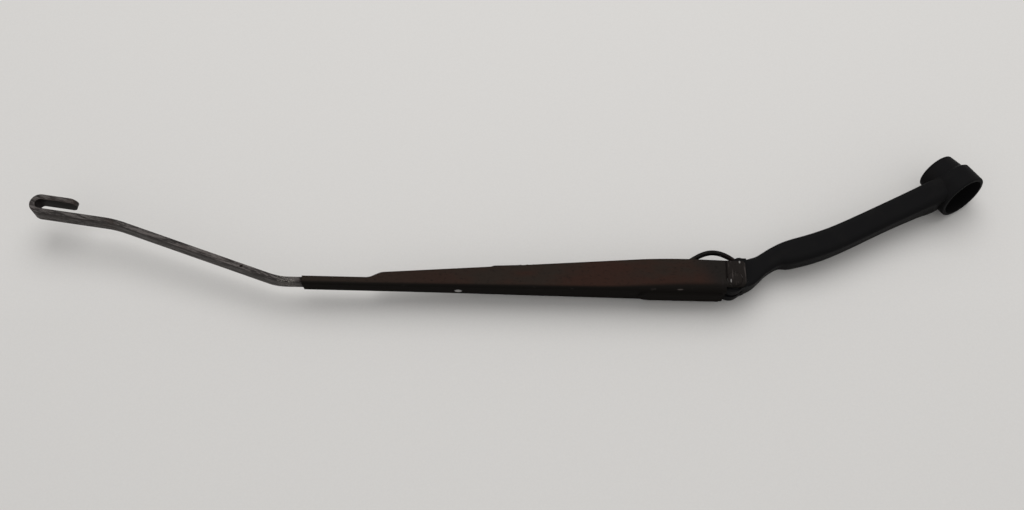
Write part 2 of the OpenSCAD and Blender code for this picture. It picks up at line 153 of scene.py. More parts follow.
class Graph:
    """A material's node tree, with short calls for the nodes that the finishes share."""

    def __init__(self, name: str) -> None:
        """Makes the material.

        Args:
            name: Name of the material.
        """
        self.material = bpy.data.materials.new(name)
        self.material.use_nodes = True
        self.tree = self.material.node_tree
        self.tree.nodes.clear()
        self.output = self.tree.nodes.new("ShaderNodeOutputMaterial")

    def add(self, kind: str, inputs: dict[str | int, Any] | None = None, **settings: Any) -> bpy.types.Node:
        """Adds a node.

        Args:
            kind: The node's class name.
            inputs: Values or sockets for its inputs.
            settings: Properties of the node.

        Returns:
            The node.
        """
        node = self.tree.nodes.new(kind)
        for key, value in settings.items():
            setattr(node, key, value)
        for key, value in (inputs or {}).items():
            if isinstance(value, bpy.types.NodeSocket):
                self.tree.links.new(value, node.inputs[key])
            else:
                node.inputs[key].default_value = value
        return node

    def place(self) -> bpy.types.NodeSocket:
        """Gives the surface's place in the side plane, in millimetres, fixed to the piece.

        Returns:
            The vector socket.
        """
        coordinates = self.add("ShaderNodeTexCoord")
        scaled = self.add(
            "ShaderNodeVectorMath", {0: coordinates.outputs["Object"], 3: 1 / MM}, operation="SCALE"
        )
        turned = self.add(
            "ShaderNodeMapping",
            {
                "Vector": scaled.outputs[0],
                "Rotation": Euler((math.radians(PLANE.twist), math.radians(-PLANE.lean), 0.0)),
                "Location": (-PLANE.reach, 0.0, -PLANE.drop),
            },
        )
        return turned.outputs[0]

    def facing(self, x: float, y: float, z: float) -> bpy.types.NodeSocket:
        """Gives how far the surface faces a direction of the side plane, fixed to the piece.

        Args:
            x: Part towards the hook.
            y: Part along the hinge rivet.
            z: Part away from the glass.

        Returns:
            The value socket, -1 to 1.
        """
        normal = self.add("ShaderNodeTexCoord").outputs["Normal"]
        way = tuple(PLANE.direction(x, y, z))
        match = self.add("ShaderNodeVectorMath", {0: normal, 1: way}, operation="DOT_PRODUCT")
        return match.outputs["Value"]

    def spots(self, vector: bpy.types.NodeSocket, marks: Sequence[Mark]) -> bpy.types.NodeSocket:
        """Gives 1 on small oval marks of the near side and 0 elsewhere.

        Args:
            vector: The place in millimetres.
            marks: Each mark's x and z, and its half width along x and z.

        Returns:
            The value socket.
        """
        found: bpy.types.NodeSocket | float = 0.0
        for x, z, wide, high in marks:
            shrink = (1 / wide, 0.0, 1 / high)
            moved = self.add("ShaderNodeVectorMath", {0: vector, 1: (x, 0.0, z)}, operation="SUBTRACT")
            scaled = self.add("ShaderNodeVectorMath", {0: moved.outputs[0], 1: shrink}, operation="MULTIPLY")
            away = self.add("ShaderNodeVectorMath", {0: scaled.outputs[0]}, operation="LENGTH")
            found = self.math("MAXIMUM", found, self.ramp(away.outputs["Value"], *SPOT_EDGE))
        near_side = self.ramp(self.part(vector, "Y"), *NEAR_SIDE)
        return self.math("MULTIPLY", found, near_side)

    def turned(self, vector: bpy.types.NodeSocket, slope: float) -> bpy.types.NodeSocket:
        """Turns a place so that its first part runs along a sloping strap.

        Args:
            vector: The place in millimetres.
            slope: How far the strap leans towards the glass, in degrees.

        Returns:
            The vector socket.
        """
        turn = Euler((0.0, math.radians(-slope), 0.0))
        return self.add("ShaderNodeMapping", {"Vector": vector, "Rotation": turn}).outputs[0]

    def noise(
        self,
        vector: bpy.types.NodeSocket,
        scale: float,
        detail: float = 4.0,
        stretch: Point = (1.0, 1.0, 1.0),
    ) -> bpy.types.NodeSocket:
        """Gives noise over the side plane.

        Args:
            vector: The place in millimetres.
            scale: Noise cells per millimetre.
            detail: Octaves.
            stretch: Scale of the place on each axis.

        Returns:
            The value socket, about 0 to 1.
        """
        mapped = self.add("ShaderNodeMapping", {"Vector": vector, "Scale": stretch})
        noise = self.add(
            "ShaderNodeTexNoise",
            {"Vector": mapped.outputs[0], "Scale": scale, "Detail": detail, "Roughness": 0.6},
        )
        return noise.outputs["Fac"]

    def ramp(
        self,
        value: bpy.types.NodeSocket,
        low: bpy.types.NodeSocket | float,
        high: bpy.types.NodeSocket | float,
    ) -> bpy.types.NodeSocket:
        """Spreads a value smoothly to 0 at low and 1 at high.

        Args:
            value: The value.
            low: Where the result is 0.
            high: Where the result is 1.

        Returns:
            The result.
        """
        smooth = self.add(
            "ShaderNodeMapRange",
            {"Value": value, "From Min": low, "From Max": high},
            interpolation_type="SMOOTHSTEP",
        )
        return smooth.outputs[0]

    def spread(self, value: bpy.types.NodeSocket, low: float, high: float) -> bpy.types.NodeSocket:
        """Spreads a value of 0 to 1 evenly over a range.

        Args:
            value: The value.
            low: The result at 0.
            high: The result at 1.

        Returns:
            The result.
        """
        return self.add("ShaderNodeMapRange", {"Value": value, "To Min": low, "To Max": high}).outputs[0]

    def math(
        self, operation: str, a: bpy.types.NodeSocket | float, b: bpy.types.NodeSocket | float = 0.0
    ) -> bpy.types.NodeSocket:
        """Adds a sum.

        Args:
            operation: The operation's name.
            a: First value.
            b: Second value.

        Returns:
            The result.
        """
        return self.add("ShaderNodeMath", {0: a, 1: b}, operation=operation).outputs[0]

    def mix(
        self,
        factor: bpy.types.NodeSocket | float,
        a: bpy.types.NodeSocket | Colour,
        b: bpy.types.NodeSocket | Colour,
    ) -> bpy.types.NodeSocket:
        """Mixes two colours.

        Args:
            factor: Share of the second.
            a: First colour.
            b: Second colour.

        Returns:
            The colour socket.
        """
        node = self.add("ShaderNodeMix", data_type="RGBA")
        for index, value in ((0, factor), (6, a), (7, b)):
            if isinstance(value, bpy.types.NodeSocket):
                self.tree.links.new(value, node.inputs[index])
            elif index:
                node.inputs[index].default_value = (*value, 1.0)
            else:
                node.inputs[index].default_value = value
        return node.outputs[2]

    def edges(self, radius: float) -> bpy.types.NodeSocket:
        """Gives 1 on outer edges and 0 on even surfaces.

        Args:
            radius: Width of the edge zone in millimetres.

        Returns:
            The value socket.
        """
        bevel = self.add("ShaderNodeBevel", {"Radius": radius * MM}, samples=6)
        surface = self.add("ShaderNodeNewGeometry")
        match = self.add(
            "ShaderNodeVectorMath",
            {0: bevel.outputs[0], 1: surface.outputs["Normal"]},
            operation="DOT_PRODUCT",
        )
        return self.math("SUBTRACT", 1.0, match.outputs["Value"])

    def crevices(self, reach: float) -> bpy.types.NodeSocket:
        """Gives 0 in the open and up to 1 where other faces stand close.

        Args:
            reach: How far off faces count, in millimetres.

        Returns:
            The value socket.
        """
        openness = self.add("ShaderNodeAmbientOcclusion", {"Distance": reach * MM}, samples=8)
        return self.math("SUBTRACT", 1.0, openness.outputs["AO"])

    def part(self, vector: bpy.types.NodeSocket, axis: str) -> bpy.types.NodeSocket:
        """Takes one part of a vector.

        Args:
            vector: The vector.
            axis: X, Y or Z.

        Returns:
            The value socket.
        """
        return self.add("ShaderNodeSeparateXYZ", {0: vector}).outputs[axis]

    def surface(
        self,
        colour: bpy.types.NodeSocket | Colour,
        roughness: bpy.types.NodeSocket | float,
        metallic: bpy.types.NodeSocket | float = 0.0,
        relief: bpy.types.NodeSocket | None = None,
        depth: float = 0.1,
        soften: float = 0.25,
        gloss: float = 0.12,
    ) -> bpy.types.Material:
        """Ends the tree in one surface shader.

        Args:
            colour: Base colour.
            roughness: Roughness.
            metallic: Share of bare metal.
            relief: Height of the fine relief.
            depth: Depth of the relief in millimetres.
            soften: Radius that edges are rounded to in the light, in millimetres.
            gloss: Strength of the reflection of unpolished surfaces.

        Returns:
            The material.
        """
        shader = self.add("ShaderNodeBsdfPrincipled", {"Specular IOR Level": gloss})
        for key, value in (("Base Color", colour), ("Roughness", roughness), ("Metallic", metallic)):
            if isinstance(value, bpy.types.NodeSocket):
                self.tree.links.new(value, shader.inputs[key])
            else:
                shader.inputs[key].default_value = (*value, 1.0) if isinstance(value, tuple) else value
        normal = self.add("ShaderNodeBevel", {"Radius": soften * MM}, samples=4).outputs[0]
        if relief is not None:
            normal = self.add(
                "ShaderNodeBump", {"Height": relief, "Distance": depth * MM, "Normal": normal}
            ).outputs[0]
        self.tree.links.new(normal, shader.inputs["Normal"])
        self.tree.links.new(shader.outputs[0], self.output.inputs["Surface"])
        return self.material


@dataclass(frozen=True)
class Finish(ABC):
    """A surface finish that can be made into a material."""

    name: str

    @abstractmethod
    def make(self) -> bpy.types.Material:
        """Makes the material.

        Returns:
            The material.
        """


@dataclass(frozen=True)
class CastPaint(Finish):
    """Satin paint over a cast surface, rubbed through on edges."""

    paint: Colour = (0.0088, 0.0086, 0.009)
    dust: Colour = (0.014, 0.0128, 0.012)
    metal: Colour = (0.12, 0.12, 0.12)
    wear: float = 0.26
    edge: float = 0.5
    dustiness: float = 0.35
    dust_band: Band = (0.45, 0.75)
    rubbed_band: Band = (0.5, 0.72)
    bare_share: float = 0.8
    rough: Band = (0.32, 0.5)

    def make(self) -> bpy.types.Material:
        """Makes the material.

        Returns:
            The material.
        """
        g = Graph(self.name)
        at = g.place()
        fine = g.noise(at, 1.6, 5.0)
        broad = g.noise(at, 0.09, 3.0)
        worn = g.math("MULTIPLY", g.edges(self.edge), g.ramp(g.noise(at, 0.35, 6.0), *self.rubbed_band))
        worn = g.ramp(worn, self.wear * 0.4, self.wear)
        dust = g.math("MULTIPLY", g.ramp(broad, *self.dust_band), self.dustiness)
        colour = g.mix(dust, self.paint, self.dust)
        colour = g.mix(worn, colour, self.metal)
        rough = g.spread(fine, *self.rough)
        metallic = g.math("MULTIPLY", worn, self.bare_share)
        return g.surface(colour, rough, metallic, relief=fine, depth=0.12, soften=0.5, gloss=0.007)


@dataclass(frozen=True)
class RustyPaint(Finish):
    """Dull black paint on pressed sheet, browned by rust on its side walls and darker towards the ear,
    rubbed on its folds with a painted highlight along them, with a painted shade line where the wall meets
    the ear and bright marks that are partly chipped paint and partly painted glints.
    """

    paint: Colour = (0.0095, 0.0083, 0.0074)
    brown: Colour = (0.0255, 0.0195, 0.016)
    rust: Colour = (0.033, 0.0175, 0.0135)
    # Colour of the side wall towards the ear, darker than the brown further along.
    ear_tone: Colour = (0.0185, 0.0158, 0.0145)
    # Colour of scrapes and scratches, also used for the painted highlight along the fold.
    scraped_and_lit: Colour = (0.07, 0.06, 0.056)
    metal: Colour = (0.1, 0.096, 0.09)
    # Colour of the painted shade line where the side wall meets the ear.
    shade_line_colour: Colour = (0.004, 0.003, 0.003)
    bright: Colour = (0.22, 0.21, 0.2)
    speckle: Colour = (0.035, 0.031, 0.028)
    # Bright marks by the hinge: partly chipped paint, partly painted glints.
    chips_and_glints: tuple[Mark, ...] = ((-3.1, -9.83, 0.45, 0.8), (2.31, 1.17, 0.32, 1.05))
    scuffs: tuple[Mark, ...] = ((30.0, 5.7, 1.6, 0.28),)
    # Where the painted shade line lies along the arm, from the hinge.
    shade_line: float = 4.4
    roof: float = 7.1
    fall: float = 0.0251
    brown_from: Band = (6.0, 22.0)
    rust_over: Band = (240.0, 110.0)
    knee: Band = (20.0, 75.0)
    ear: Band = (0.0, 9.0)
    wall_far: Band = (0.8, 2.5)
    wall_near: Band = (1.7, 3.2)
    wall_specks: Band = (0.1, 0.5)
    speckle_band: Band = (0.62, 0.75)
    rust_band: Band = (0.4, 0.62)
    scratch_band: Band = (0.56, 0.72)
    shade_line_edge: Band = (1.0, 0.2)
    shade_line_height: Band = (3.0, -2.0)
    fold_low: Band = (-0.4, 0.8)
    fold_high: Band = (1.2, 2.6)
    fold_band: Band = (0.64, 0.72)
    worn_noise: Band = (0.5, 0.75)
    worn_band: Band = (0.1, 0.3)
    bare_share: float = 0.7
    edge: float = 0.5
    rough: Band = (0.36, 0.62)

    def make(self) -> bpy.types.Material:
        """Makes the material.

        Returns:
            The material.
        """
        g = Graph(self.name)
        at = g.place()
        fallen = g.math("MULTIPLY", g.part(at, "X"), self.fall)
        below = g.math("SUBTRACT", g.math("SUBTRACT", self.roof, fallen), g.part(at, "Z"))
        cloud = g.noise(at, 0.05, 4.0, (0.35, 1.0, 1.0))
        speck = g.noise(at, 0.9, 5.0, (0.5, 1.0, 1.0))
        along = g.part(at, "X")
        browned = g.ramp(g.math("ADD", along, g.math("MULTIPLY", g.part(at, "Z"), 0.5)), *self.brown_from)
        near = g.math("SUBTRACT", 1.0, g.ramp(along, *self.knee))
        low = g.math("ADD", self.wall_far[0], g.math("MULTIPLY", near, self.wall_near[0]))
        high = g.math("ADD", self.wall_far[1], g.math("MULTIPLY", near, self.wall_near[1]))
        wall = g.math("MULTIPLY", g.ramp(below, low, high), g.ramp(speck, *self.wall_specks))
        worn = g.math("MULTIPLY", g.edges(self.edge), g.ramp(g.noise(at, 0.25, 6.0), *self.worn_noise))
        worn = g.ramp(worn, *self.worn_band)
        rusty = g.math("MULTIPLY", g.ramp(cloud, *self.rust_band), g.ramp(along, *self.rust_over))
        # The side wall is darker towards the ear and turns brown further along.
        side = g.mix(browned, self.ear_tone, g.mix(rusty, self.brown, self.rust))
        colour = g.mix(wall, self.paint, side)
        speckled = g.ramp(speck, *self.speckle_band)
        colour = g.mix(g.math("MULTIPLY", speckled, 0.3), colour, self.speckle)
        scratch = g.ramp(g.noise(at, 1.1, 3.0, (1.0, 1.0, 0.1)), *self.scratch_band)
        scratch = g.math("MULTIPLY", scratch, g.math("SUBTRACT", 1.0, g.ramp(along, *self.ear)))
        colour = g.mix(g.math("MULTIPLY", scratch, 0.7), colour, self.scraped_and_lit)
        # Painted shade: a dark line across the upper side wall where it meets the ear.
        off_shade_line = g.math("ABSOLUTE", g.math("SUBTRACT", along, self.shade_line))
        shade_line_side = g.ramp(g.part(at, "Z"), *self.shade_line_height)
        shade_line = g.math("MULTIPLY", g.ramp(off_shade_line, *self.shade_line_edge), shade_line_side)
        colour = g.mix(g.math("MULTIPLY", shade_line, 0.75), colour, self.shade_line_colour)
        colour = g.mix(g.spots(at, self.scuffs), colour, self.scraped_and_lit)
        # Bright marks by the hinge: partly chipped paint, partly painted glints.
        colour = g.mix(g.spots(at, self.chips_and_glints), colour, self.bright)
        # Lighter specks along the fold: partly rubbed paint, partly a painted highlight.
        fold = g.math("SUBTRACT", g.ramp(below, *self.fold_low), g.ramp(below, *self.fold_high))
        rubs = g.ramp(g.noise(at, 0.3, 5.0, (0.5, 1.0, 1.0)), *self.fold_band)
        rubbed_and_lit = g.math("MULTIPLY", fold, rubs)
        colour = g.mix(g.math("MULTIPLY", rubbed_and_lit, 0.5), colour, self.scraped_and_lit)
        colour = g.mix(worn, colour, self.metal)
        rough = g.spread(speck, *self.rough)
        metallic = g.math("MULTIPLY", worn, self.bare_share)
        return g.surface(colour, rough, metallic, relief=speck, depth=0.05, soften=0.35, gloss=0.002)


@dataclass(frozen=True)
class RubbedSteel(Finish):
    """Dull, dark bare steel with lengthways rubbing, faint stains and dark pits, and painted shade where
    other faces stand close.
    """

    dark: Colour = (0.026, 0.0235, 0.0225)
    light: Colour = (0.108, 0.097, 0.093)
    stain: Colour = (0.048, 0.034, 0.029)
    edge: Colour = (0.014, 0.009, 0.0075)
    # Colour of the dark pits and of the painted shade in crevices and between parts.
    grime_and_shade: Colour = (0.009, 0.006, 0.005)
    pitted: tuple[Mark, ...] = ()
    mouth: float = 0.0
    fleck: Colour = (0.3, 0.285, 0.25)
    slope: float = 0.0
    rough: float = 0.54
    metallic: float = 0.5
    gloss: float = 0.08
    edge_zone: float = 0.6
    edge_band: Band = (0.02, 0.2)
    crevice: float = 9.0
    crevice_band: Band = (0.03, 0.2)
    pit_band: Band = (0.56, 0.66)
    rub_band: Band = (0.43, 0.58)
    stain_band: Band = (0.5, 0.75)
    flat_band: Band = (0.8, 0.5)
    line_side: Band = (-1.6, -3.4)
    line_band: Band = (0.3, 0.55)
    fleck_zone: Band = (6.5, 3.0)
    fleck_band: Band = (0.54, 0.62)
    rough_spread: Band = (-0.08, 0.14)

    def make(self) -> bpy.types.Material:
        """Makes the material.

        Returns:
            The material.
        """
        g = Graph(self.name)
        place = g.place()
        at = g.turned(place, self.slope)
        rub = g.noise(at, 0.8, 6.0, (0.1, 1.0, 1.0))
        cloud = g.noise(at, 0.12, 4.0, (0.5, 1.0, 1.0))
        worn = g.ramp(g.edges(self.edge_zone), *self.edge_band)
        pits = g.ramp(g.noise(at, 0.9, 5.0, (0.35, 1.0, 1.0)), *self.pit_band)
        fine = g.noise(at, 2.4, 4.0, (0.14, 1.0, 1.0))
        rubs = g.math("ADD", g.math("MULTIPLY", rub, 0.6), g.math("MULTIPLY", fine, 0.4))
        colour = g.mix(g.ramp(rubs, *self.rub_band), self.dark, self.light)
        colour = g.mix(g.math("MULTIPLY", g.ramp(cloud, *self.stain_band), 0.6), colour, self.stain)
        colour = g.mix(g.math("MULTIPLY", worn, 0.6), colour, self.edge)
        if self.slope:
            flat = g.ramp(g.facing(0.0, -1.0, 0.0), *self.flat_band)
            line = g.math("MULTIPLY", flat, g.ramp(g.part(at, "Y"), *self.line_side))
            broken = g.ramp(g.noise(at, 0.25, 4.0, (0.4, 1.0, 1.0)), *self.line_band)
            line = g.math("MULTIPLY", line, broken)
            colour = g.mix(g.math("MULTIPLY", line, 0.8), colour, self.edge)
        # Painted shade: the steel is darkened where other faces stand close, in crevices and between parts;
        # the pits add real dark spots.
        painted_shade = g.ramp(g.crevices(self.crevice), *self.crevice_band)
        grime_and_shade_mask = g.math("MAXIMUM", painted_shade, g.math("MULTIPLY", pits, 0.5))
        if self.pitted:
            grime_and_shade_mask = g.math("MAXIMUM", grime_and_shade_mask, g.spots(place, self.pitted))
        colour = g.mix(grime_and_shade_mask, colour, self.grime_and_shade)
        if self.mouth:
            off_mouth = g.math("ABSOLUTE", g.math("SUBTRACT", g.part(place, "X"), self.mouth))
            grains = g.ramp(g.noise(place, 1.3, 2.0), *self.fleck_band)
            flecks = g.math("MULTIPLY", g.ramp(off_mouth, *self.fleck_zone), grains)
            colour = g.mix(g.math("MULTIPLY", flecks, 0.6), colour, self.fleck)
        low, high = (self.rough + part for part in self.rough_spread)
        rough = g.spread(cloud, low, high)
        return g.surface(colour, rough, self.metallic, relief=rub, depth=0.03, soften=0.3, gloss=self.gloss)


@dataclass(frozen=True)
class WornSpot(Finish):
    """Paint worn through to bright steel on the middle of a rivet's dome."""

    paint: Colour = (0.0052, 0.0048, 0.0046)
    steel: Colour = (0.3, 0.29, 0.285)
    x: float = 151.6
    radius: float = 2.0
    fringe: Band = (0.15, -0.25)
    ragged: float = 0.8
    bare_share: float = 0.5
    rough: float = 0.42

    def make(self) -> bpy.types.Material:
        """Makes the material.

        Returns:
            The material.
        """
        g = Graph(self.name)
        at = g.place()
        aside = g.math("SUBTRACT", g.part(at, "X"), self.x)
        across = g.part(at, "Y")
        squares = g.math("ADD", g.math("MULTIPLY", aside, aside), g.math("MULTIPLY", across, across))
        away = g.math("SQRT", squares)
        rough = g.noise(at, 1.5, 4.0)
        edge = g.math("ADD", away, g.math("MULTIPLY", g.math("SUBTRACT", rough, 0.5), self.ragged))
        bare = g.ramp(edge, *(self.radius + part for part in self.fringe))
        colour = g.mix(bare, self.paint, self.steel)
        metallic = g.math("MULTIPLY", bare, self.bare_share)
        return g.surface(colour, self.rough, metallic, relief=rough, depth=0.04, soften=0.2)


@dataclass(frozen=True)
class Moulded(Finish):
    """Plain moulded plastic."""

    colour: Colour = (0.012, 0.012, 0.012)
    rough: float = 0.45

    def make(self) -> bpy.types.Material:
        """Makes the material.

        Returns:
            The material.
        """
        g = Graph(self.name)
        return g.surface(self.colour, self.rough, relief=g.noise(g.place(), 1.2), depth=0.03, soften=0.15)


@dataclass(frozen=True)
class TableTop(Finish):
    """Pale table that shows only its front, so that views from behind aren't blocked."""

    colour: Colour = (0.71, 0.695, 0.675)
    low: float = 0.97
    high: float = 1.03
    grain: float = 900.0

    def make(self) -> bpy.types.Material:
        """Makes the material.

        Returns:
            The material.
        """
        g = Graph(self.name)
        coordinates = g.add("ShaderNodeTexCoord")
        grain = g.add(
            "ShaderNodeTexNoise",
            {"Vector": coordinates.outputs["Object"], "Scale": self.grain, "Detail": 3.0},
        )
        dark, light = (tuple(share * c for c in self.colour) for share in (self.low, self.high))
        tone = g.mix(grain.outputs["Fac"], dark, light)
        front = g.add("ShaderNodeBsdfDiffuse", {"Color": tone})
        clear = g.add("ShaderNodeBsdfTransparent")
        surface = g.add("ShaderNodeNewGeometry")
        both = g.add(
            "ShaderNodeMixShader",
            {0: surface.outputs["Backfacing"], 1: front.outputs[0], 2: clear.outputs[0]},
        )
        g.tree.links.new(both.outputs[0], g.output.inputs["Surface"])
        return g.material


@dataclass
class Wardrobe:
    """The finishes of this arm, each made once."""

    finishes: dict[str, Finish]
    made: dict[str, bpy.types.Material] = field(default_factory=dict)

    def material(self, name: str) -> bpy.types.Material:
        """Gives a finish's material.

        Args:
            name: The finish's key.

        Returns:
            The material.
        """
        if name not in self.made:
            self.made[name] = self.finishes[name].make()
        return self.made[name]


def new_object(name: str, points: Iterable[Vector], faces: Iterable[Sequence[int]]) -> bpy.types.Object:
    """Makes a mesh object from points in the row frame.

    Args:
        name: Name of the object.
        points: Its points, in metres.
        faces: Its faces, as point numbers.

    Returns:
        The linked object.
    """
    mesh = bpy.data.meshes.new(name)
    mesh.from_pydata([tuple(p) for p in points], [], [tuple(f) for f in faces])
    mesh.update()
    mesh.shade_smooth()
    made = bpy.data.objects.new(name, mesh)
    bpy.context.scene.collection.objects.link(made)
    return made


def sweep(
    name: str, path: Sequence[Vector], radii: Sequence[float], first: Vector, sides: int = 12
) -> bpy.types.Object:
    """Sweeps a round wire along a path.

    Args:
        name: Name of the object.
        path: Middle of the wire, in the side plane, in millimetres.
        radii: Radius of the wire at each point, in millimetres.
        first: A direction across the wire at its start.
        sides: Points round the wire.

    Returns:
        The object, in the row frame.
    """
    points: list[Vector] = []
    faces: list[tuple[int, ...]] = []
    normal = first
    last = len(path) - 1
    for i, p in enumerate(path):
        along = (path[min(i + 1, last)] - path[max(i - 1, 0)]).normalized()
        normal = (normal - normal.dot(along) * along).normalized()
        across = along.cross(normal)
        for j in range(sides):
            a = 2 * math.pi * j / sides
            points.append(p + radii[i] * (math.cos(a) * normal + math.sin(a) * across))
        if i:
            low = (i - 1) * sides
            faces += [
                (low + j, low + (j + 1) % sides, low + sides + (j + 1) % sides, low + sides + j)
                for j in range(sides)
            ]
    faces.append(tuple(range(sides - 1, -1, -1)))
    faces.append(tuple(range(last * sides, (last + 1) * sides)))
    matrix = PLANE.matrix()
    return new_object(name, [matrix @ p for p in points], faces)


def cubic(a: Vector, b: Vector, c: Vector, d: Vector, steps: int) -> list[Vector]:
    """Walks a cubic curve, its start left out.

    Args:
        a: Start.
        b: First handle.
        c: Second handle.
        d: End.
        steps: Number of points.

    Returns:
        The points.
    """
    out = []
    for i in range(1, steps + 1):
        t = i / steps
        s = 1 - t
        out.append(s**3 * a + 3 * s * s * t * b + 3 * s * t * t * c + t**3 * d)
    return out


def angles(start: float, end: float, steps: int) -> list[float]:
    """Divides a turn into even steps.

    Args:
        start: First angle in degrees.
        end: Last angle in degrees.
        steps: Number of steps.

    Returns:
        The angles in radians, both ends included.
    """
    return [math.radians(start + (end - start) * i / steps) for i in range(steps + 1)]


@dataclass
class SubAssembly(ABC):
    """A group of pieces that one body carries or that joins two bodies."""

    wardrobe: Wardrobe
    nodes: dict[str, bpy.types.Object]

    @abstractmethod
    def build(self) -> None:
        """Builds or paints the group's pieces."""

    def paint(self, node: str, finish: str, smooth: float = 32.0) -> None:
        """Gives a CAD node its finish and smooth shading up to an angle.

        Args:
            node: Name of the node.
            finish: Key of the finish.
            smooth: Angle in degrees above which an edge stays sharp.
        """
        piece = self.nodes[node]
        piece.data.materials.clear()
        piece.data.materials.append(self.wardrobe.material(finish))
        piece.data.shade_smooth()
        piece.data.set_sharp_from_angle(angle=math.radians(smooth))
        if "custom_normal" in piece.data.attributes:
            piece.data.attributes.remove(piece.data.attributes["custom_normal"])

    def own(self, piece: bpy.types.Object, finish: str, body: Body | None, slot: Slot) -> bpy.types.Object:
        """Gives an added piece its finish and the body that it rides on.

        Args:
            piece: The piece.
            finish: Key of the finish.
            body: The body, or None to leave the piece unattached.
            slot: Not used.

        Returns:
            The piece.
        """
        piece.data.materials.append(self.wardrobe.material(finish))
        if body is not None:
            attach(piece, body.value)
        return piece


@dataclass
class SpindleHead(SubAssembly):
    """The cast head with its bushes and link pin."""

    spline_count: int = 36
    spline_ends: tuple[tuple[float, float], ...] = ((-9.6, 5.95), (-2.4, 5.28))
    spline_half: float = 0.07
    spline_root: float = -0.06
    spline_depth: float = 0.42

    def build(self) -> None:
        """Paints the head's nodes and adds the socket's splines."""
        self.paint("head", "cast", 40.0)
        self.paint("hinge_bush_left", "nylon")
        self.paint("hinge_bush_right", "nylon")
        self.paint("link_pin", "steel")
        self.splines()

    def splines(self) -> None:
        """Adds the fine ribs on the taper socket's wall."""
        points: list[Vector] = []
        faces: list[tuple[int, ...]] = []
        root, half = self.spline_root, self.spline_half
        for i in range(self.spline_count):
            middle = 2 * math.pi * i / self.spline_count
            start = len(points)
            for z, radius in self.spline_ends:
                for turn, inward in ((-half, root), (0.0, self.spline_depth), (half, root)):
                    r = (radius - inward) * MM
                    points.append(Vector((r * math.cos(middle + turn), r * math.sin(middle + turn), z * MM)))
            faces += [(start + a, start + b, start + c) for a, b, c in ((0, 1, 2), (5, 4, 3))]
            faces += [
                (start, start + 3, start + 4, start + 1),
                (start + 1, start + 4, start + 5, start + 2),
                (start + 2, start + 5, start + 3, start),
            ]
        ribs = new_object("socket_splines", points, faces)
        ribs.data.shade_flat()
        self.own(ribs, "steel", Body.HEAD, Slot.HEAD)


@dataclass
class Channel(SubAssembly):
    """The pressed channel with the flat rod and the rivets."""

    def build(self) -> None:
        """Paints the arm's nodes."""
        self.paint("channel", "channel", 30.0)
        self.paint("rod", "strap", 30.0)
        self.paint("rod_rivet", "worn")
        self.paint("hinge_rivet", "rivet")


